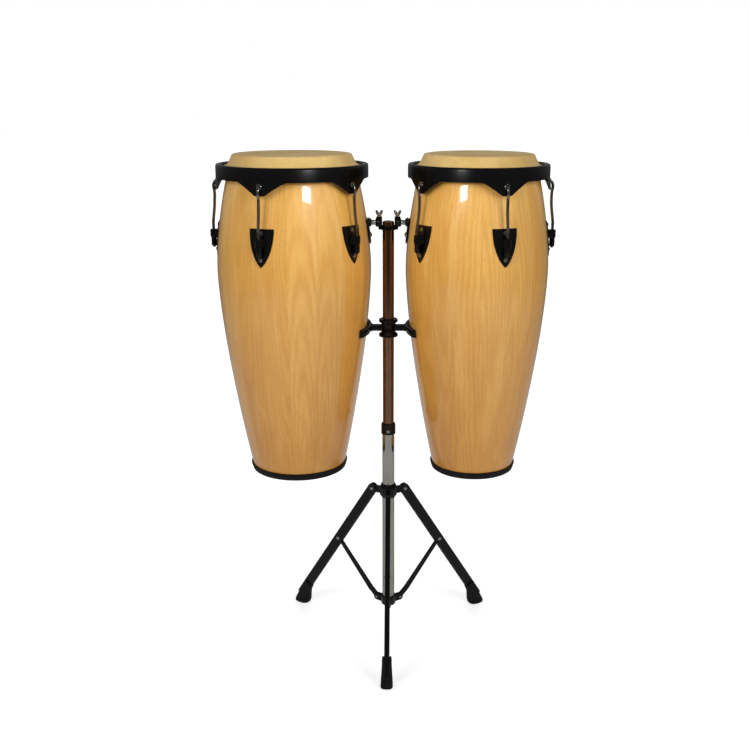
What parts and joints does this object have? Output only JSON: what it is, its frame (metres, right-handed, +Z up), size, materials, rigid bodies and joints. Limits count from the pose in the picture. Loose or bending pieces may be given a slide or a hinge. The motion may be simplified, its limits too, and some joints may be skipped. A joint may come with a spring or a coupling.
{
  "type": "pair of conga drums on a stand",
  "caption": "Two wooden conga drums with rawhide heads, black hoops and tuning lugs, hung side by side on a folding tripod stand with an adjustable post.",
  "frame": {"origin": "middle of the footprint's bounding box, on the floor", "axes": "+Z up; +X from the larger drum to the smaller one; the front leg points to -Y"},
  "size_m": [0.7562, 0.4496, 1.134],
  "materials": {
    "lacquered_oak": "gloss lacquer over vertical staves",
    "rawhide": "stretched rawhide",
    "black_metal": "black powder coat, semi-gloss",
    "chrome": "polished",
    "steel": "plated, slightly dull",
    "rubber": "moulded"
  },
  "bodies": {
    "base": {"lower_tube": "chrome", "foot_hub": "black_metal", "height_clamp": "black_metal"},
    "leg_slider": {"leg_hub": "black_metal"},
    "front_leg": {"front_leg": "black_metal", "front_foot": "rubber"},
    "front_brace": {"front_brace": "black_metal"},
    "right_leg": {"right_leg": "black_metal", "right_foot": "rubber"},
    "right_brace": {"right_brace": "black_metal"},
    "left_leg": {"left_leg": "black_metal", "left_foot": "rubber"},
    "left_brace": {"left_brace": "black_metal"},
    "post": {"upper_tube": "chrome", "cross_head": "black_metal"},
    "support": {"support_bracket": "black_metal"},
    "left_drum": {"left_shell": "lacquered_oak", "left_bottom_ring": "rubber", "left_head": "rawhide", "left_mount_plate": "black_metal", "left_lug_plate_1": "black_metal", "left_lug_plate_2": "black_metal", "left_lug_plate_3": "black_metal", "left_lug_plate_4": "black_metal", "left_lug_plate_5": "black_metal"},
    "left_rim": {"left_rim": "black_metal", "left_tension_rod_1": "chrome", "left_tension_rod_2": "chrome", "left_tension_rod_3": "chrome", "left_tension_rod_4": "chrome", "left_tension_rod_5": "chrome"},
    "left_nut_1": {"left_tuning_nut_1": "black_metal"},
    "left_nut_2": {"left_tuning_nut_2": "black_metal"},
    "left_nut_3": {"left_tuning_nut_3": "black_metal"},
    "left_nut_4": {"left_tuning_nut_4": "black_metal"},
    "left_nut_5": {"left_tuning_nut_5": "black_metal"},
    "left_wing_screw": {"left_wing_screw": "steel"},
    "right_drum": {"right_shell": "lacquered_oak", "right_bottom_ring": "rubber", "right_head": "rawhide", "right_mount_plate": "black_metal", "right_lug_plate_1": "black_metal", "right_lug_plate_2": "black_metal", "right_lug_plate_3": "black_metal", "right_lug_plate_4": "black_metal", "right_lug_plate_5": "black_metal"},
    "right_rim": {"right_rim": "black_metal", "right_tension_rod_1": "chrome", "right_tension_rod_2": "chrome", "right_tension_rod_3": "chrome", "right_tension_rod_4": "chrome", "right_tension_rod_5": "chrome"},
    "right_nut_1": {"right_tuning_nut_1": "black_metal"},
    "right_nut_2": {"right_tuning_nut_2": "black_metal"},
    "right_nut_3": {"right_tuning_nut_3": "black_metal"},
    "right_nut_4": {"right_tuning_nut_4": "black_metal"},
    "right_nut_5": {"right_tuning_nut_5": "black_metal"},
    "right_wing_screw": {"right_wing_screw": "steel"},
    "height_screw": {"height_screw": "steel"},
    "hub_screw": {"hub_screw": "steel"}
  },
  "joints": [
    {"name": "leg_fold", "type": "slide", "parent": "base", "child": "leg_slider", "axis": [0, 0, 1], "range_m": [0, 0.06765]},
    {"name": "front_leg_pivot", "type": "hinge", "parent": "leg_slider", "child": "front_leg", "pos_m": [0.01243, 0.0069, 0.356], "axis": [1, 0, 0], "range_deg": [0, 28.86]},
    {"name": "front_brace_pivot", "type": "hinge", "parent": "base", "child": "front_brace", "pos_m": [0.01243, 0.0199, 0.075], "axis": [1, 0, 0], "range_deg": [-32.1, 0]},
    {"name": "right_leg_pivot", "type": "hinge", "parent": "leg_slider", "child": "right_leg", "pos_m": [0.04966, 0.0714, 0.356], "axis": [-0.5, 0.866, 0], "range_deg": [0, 28.86]},
    {"name": "right_brace_pivot", "type": "hinge", "parent": "base", "child": "right_brace", "pos_m": [0.03841, 0.0649, 0.075], "axis": [-0.5, 0.866, 0], "range_deg": [-32.1, 0]},
    {"name": "left_leg_pivot", "type": "hinge", "parent": "leg_slider", "child": "left_leg", "pos_m": [-0.02481, 0.0714, 0.356], "axis": [-0.5, -0.866, 0], "range_deg": [0, 28.86]},
    {"name": "left_brace_pivot", "type": "hinge", "parent": "base", "child": "left_brace", "pos_m": [-0.01355, 0.0649, 0.075], "axis": [-0.5, -0.866, 0], "range_deg": [-32.1, 0]},
    {"name": "post_height", "type": "slide", "parent": "base", "child": "post", "axis": [0, 0, 1], "range_m": [-0.1, 0.12]},
    {"name": "support_height", "type": "slide", "parent": "post", "child": "support", "axis": [0, 0, 1], "range_m": [-0.09, 0]},
    {"name": "left_drum_pull", "type": "slide", "parent": "post", "child": "left_drum", "axis": [-1, 0, 0], "range_m": [0, 0.05]},
    {"name": "left_rim_tune", "type": "slide", "parent": "left_drum", "child": "left_rim", "axis": [0, 0, 1], "range_m": [0, 0.005]},
    {"name": "left_nut_turn_1", "type": "hinge", "parent": "left_drum", "child": "left_nut_1", "pos_m": [-0.05221, 0.15333, 0.944], "axis": [0, 0, 1], "range_deg": [-1441, 0]},
    {"name": "left_nut_turn_2", "type": "hinge", "parent": "left_drum", "child": "left_nut_2", "pos_m": [-0.24895, 0.21726, 0.944], "axis": [0, 0, 1], "range_deg": [-1441, 0]},
    {"name": "left_nut_turn_3", "type": "hinge", "parent": "left_drum", "child": "left_nut_3", "pos_m": [-0.37055, 0.0499, 0.944], "axis": [0, 0, 1], "range_deg": [-1441, 0]},
    {"name": "left_nut_turn_4", "type": "hinge", "parent": "left_drum", "child": "left_nut_4", "pos_m": [-0.24895, -0.11746, 0.944], "axis": [0, 0, 1], "range_deg": [-1441, 0]},
    {"name": "left_nut_turn_5", "type": "hinge", "parent": "left_drum", "child": "left_nut_5", "pos_m": [-0.05221, -0.05353, 0.944], "axis": [0, 0, 1], "range_deg": [-1441, 0]},
    {"name": "left_wing_screw_turn", "type": "hinge", "parent": "post", "child": "left_wing_screw", "pos_m": [-0.00758, 0.0499, 1], "axis": [0, 0, 1], "continuous": true},
    {"name": "right_drum_pull", "type": "slide", "parent": "post", "child": "right_drum", "axis": [1, 0, 0], "range_m": [0, 0.05]},
    {"name": "right_rim_tune", "type": "slide", "parent": "right_drum", "child": "right_rim", "axis": [0, 0, 1], "range_m": [0, 0.005]},
    {"name": "right_nut_turn_1", "type": "hinge", "parent": "right_drum", "child": "right_nut_1", "pos_m": [0.07455, -0.04627, 0.944], "axis": [0, 0, 1], "range_deg": [-1441, 0]},
    {"name": "right_nut_turn_2", "type": "hinge", "parent": "right_drum", "child": "right_nut_2", "pos_m": [0.25749, -0.10571, 0.944], "axis": [0, 0, 1], "range_deg": [-1441, 0]},
    {"name": "right_nut_turn_3", "type": "hinge", "parent": "right_drum", "child": "right_nut_3", "pos_m": [0.37055, 0.0499, 0.944], "axis": [0, 0, 1], "range_deg": [-1441, 0]},
    {"name": "right_nut_turn_4", "type": "hinge", "parent": "right_drum", "child": "right_nut_4", "pos_m": [0.25749, 0.20551, 0.944], "axis": [0, 0, 1], "range_deg": [-1441, 0]},
    {"name": "right_nut_turn_5", "type": "hinge", "parent": "right_drum", "child": "right_nut_5", "pos_m": [0.07455, 0.14607, 0.944], "axis": [0, 0, 1], "range_deg": [-1441, 0]},
    {"name": "right_wing_screw_turn", "type": "hinge", "parent": "post", "child": "right_wing_screw", "pos_m": [0.03243, 0.0499, 1], "axis": [0, 0, 1], "continuous": true},
    {"name": "height_screw_turn", "type": "hinge", "parent": "base", "child": "height_screw", "pos_m": [0.01243, 0.0799, 0.512], "axis": [0, 1, 0], "continuous": true},
    {"name": "hub_screw_turn", "type": "hinge", "parent": "leg_slider", "child": "hub_screw", "pos_m": [0.01243, 0.0799, 0.356], "axis": [0, 1, 0], "continuous": true}
  ],
  "couplings": [
    {"joint": "front_leg_pivot", "follows": "leg_fold", "rad_per_m": 7.4332},
    {"joint": "front_brace_pivot", "follows": "leg_fold", "rad_per_m": -8.2697},
    {"joint": "right_leg_pivot", "follows": "leg_fold", "rad_per_m": 7.4332},
    {"joint": "right_brace_pivot", "follows": "leg_fold", "rad_per_m": -8.2697},
    {"joint": "left_leg_pivot", "follows": "leg_fold", "rad_per_m": 7.4332},
    {"joint": "left_brace_pivot", "follows": "leg_fold", "rad_per_m": -8.2697},
    {"joint": "left_nut_turn_1", "follows": "left_rim_tune", "rad_per_m": -5026.5},
    {"joint": "left_nut_turn_2", "follows": "left_rim_tune", "rad_per_m": -5026.5},
    {"joint": "left_nut_turn_3", "follows": "left_rim_tune", "rad_per_m": -5026.5},
    {"joint": "left_nut_turn_4", "follows": "left_rim_tune", "rad_per_m": -5026.5},
    {"joint": "left_nut_turn_5", "follows": "left_rim_tune", "rad_per_m": -5026.5},
    {"joint": "right_nut_turn_1", "follows": "right_rim_tune", "rad_per_m": -5026.5},
    {"joint": "right_nut_turn_2", "follows": "right_rim_tune", "rad_per_m": -5026.5},
    {"joint": "right_nut_turn_3", "follows": "right_rim_tune", "rad_per_m": -5026.5},
    {"joint": "right_nut_turn_4", "follows": "right_rim_tune", "rad_per_m": -5026.5},
    {"joint": "right_nut_turn_5", "follows": "right_rim_tune", "rad_per_m": -5026.5}
  ]
}
